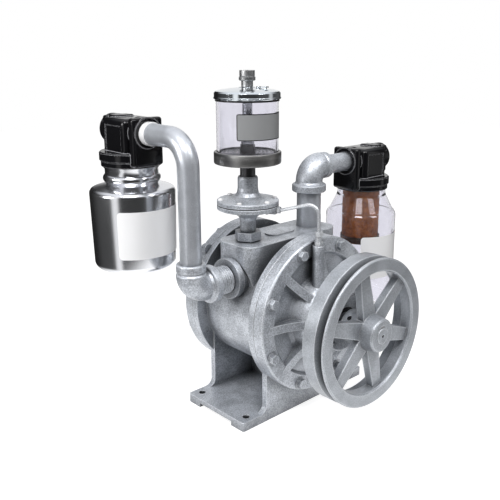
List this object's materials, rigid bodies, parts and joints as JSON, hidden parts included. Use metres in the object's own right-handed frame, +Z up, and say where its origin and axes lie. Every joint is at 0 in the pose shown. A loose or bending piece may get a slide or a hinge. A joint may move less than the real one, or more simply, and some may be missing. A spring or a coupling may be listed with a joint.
{
  "type": "rotary vane vacuum pump",
  "caption": "Belt-driven rotary vane vacuum pump with a spoked pulley, drip oiler, exhaust oil flask and intake filter jar.",
  "frame": {"origin": "middle of the four foot bolt holes, on the floor", "axes": "+Z up, shaft along Y with the pulley at -Y, intake side at +X"},
  "size_m": [0.54, 0.443, 0.5557],
  "materials": {
    "cast_paint": "silver-grey enamel over rough castings",
    "pipe_paint": "silver-grey enamel on steel pipe",
    "zinc_steel": "bright zinc plate",
    "bare_steel": "ground steel",
    "dark_steel": "blackened steel",
    "chrome": "polished chrome",
    "black_enamel": "gloss black enamel on cast aluminium",
    "polished_aluminium": "spun and polished",
    "clear_glass": "clear",
    "brown_element": "matted brown fibre",
    "grey_element": "matted fibre",
    "brass": "plain",
    "gasket": "black rubber",
    "gasket_fibre": "pressed fibre sheet",
    "vane_fibre": "phenolic laminate",
    "copper_tube": "bright drawn tube"
  },
  "bodies": {
    "pump": {"pump_housing": "cast_paint", "front_gasket": "gasket_fibre", "rear_gasket": "gasket_fibre", "front_end_cover": "cast_paint", "rear_end_cover": "cast_paint", "front_cover_bolts": "cast_paint", "rear_cover_bolts": "cast_paint", "front_bearing": "bare_steel", "rear_bearing": "bare_steel", "front_oil_seal": "gasket", "front_bearing_cap": "cast_paint", "rear_bearing_cap": "cast_paint", "bearing_cap_screws": "zinc_steel", "exhaust_nipple": "zinc_steel", "exhaust_elbow": "cast_paint", "exhaust_pipe": "pipe_paint", "exhaust_ferrule": "zinc_steel", "exhaust_head": "black_enamel", "exhaust_flask": "polished_aluminium", "flask_gasket": "gasket", "exhaust_filter": "grey_element", "intake_riser": "pipe_paint", "intake_elbow": "cast_paint", "intake_nipple": "zinc_steel", "intake_head": "black_enamel", "intake_jar": "clear_glass", "jar_gasket": "gasket", "intake_filter": "brown_element", "filter_cup": "brass", "filter_rod": "bare_steel", "hex_bushing": "zinc_steel", "valve_body": "cast_paint", "valve_diaphragm": "gasket", "valve_spring": "bare_steel", "valve_bonnet": "cast_paint", "valve_screws": "zinc_steel", "oil_tube": "copper_tube", "valve_tube_fitting": "zinc_steel", "cover_tube_fitting": "zinc_steel", "oiler_nipple": "dark_steel", "oiler_base": "dark_steel", "oiler_gaskets": "gasket", "oiler_glass": "clear_glass", "oiler_tube": "chrome", "oiler_cap": "chrome", "knob_collar": "zinc_steel"},
    "rotor": {"rotor": "bare_steel", "rotor_shaft": "bare_steel", "drive_pulley": "cast_paint", "pulley_key": "bare_steel", "pulley_set_screw": "dark_steel"},
    "vane_a": {"vane_1": "vane_fibre"},
    "vane_b": {"vane_2": "vane_fibre"},
    "vane_c": {"vane_3": "vane_fibre"},
    "vane_d": {"vane_4": "vane_fibre"},
    "knob": {"feed_knob": "chrome"},
    "needle": {"feed_needle": "bare_steel"},
    "filler_flap": {"fill_cover": "chrome"},
    "stem": {"valve_stem": "bare_steel"}
  },
  "joints": [
    {"name": "rotor_spin", "type": "hinge", "parent": "pump", "child": "rotor", "pos_m": [0, 0, 0.168], "axis": [0, 1, 0], "continuous": true},
    {"name": "vane_a_slide", "type": "slide", "parent": "rotor", "child": "vane_a", "axis": [0.7071, 0, -0.7071], "range_m": [0, 0.0026]},
    {"name": "vane_b_slide", "type": "slide", "parent": "rotor", "child": "vane_b", "axis": [-0.7071, 0, -0.7071], "range_m": [0, 0.0026]},
    {"name": "vane_c_slide", "type": "slide", "parent": "rotor", "child": "vane_c", "axis": [-0.7071, 0, 0.7071], "range_m": [0, 0.0026]},
    {"name": "vane_d_slide", "type": "slide", "parent": "rotor", "child": "vane_d", "axis": [0.7071, 0, 0.7071], "range_m": [0, 0.0026]},
    {"name": "feed_knob_turn", "type": "hinge", "parent": "pump", "child": "knob", "pos_m": [-0.07, 0, 0.547], "axis": [0, 0, 1], "range_deg": [0, 720]},
    {"name": "feed_needle_lift", "type": "slide", "parent": "pump", "child": "needle", "axis": [0, 0, 1], "range_m": [0, 0.005]},
    {"name": "fill_cover_swing", "type": "hinge", "parent": "pump", "child": "filler_flap", "pos_m": [-0.05592, -0.02649, 0.5301], "axis": [0, 0, 1], "range_deg": [0, 110]},
    {"name": "valve_stem_lift", "type": "slide", "parent": "pump", "child": "stem", "axis": [0, 0, 1], "range_m": [0, 0.0028], "stiffness_N_per_m": 600, "springref_m": -0.002, "deforming": ["valve_spring"]}
  ],
  "couplings": [
    {"joint": "feed_needle_lift", "follows": "feed_knob_turn", "m_per_rad": 0.00035}
  ]
}
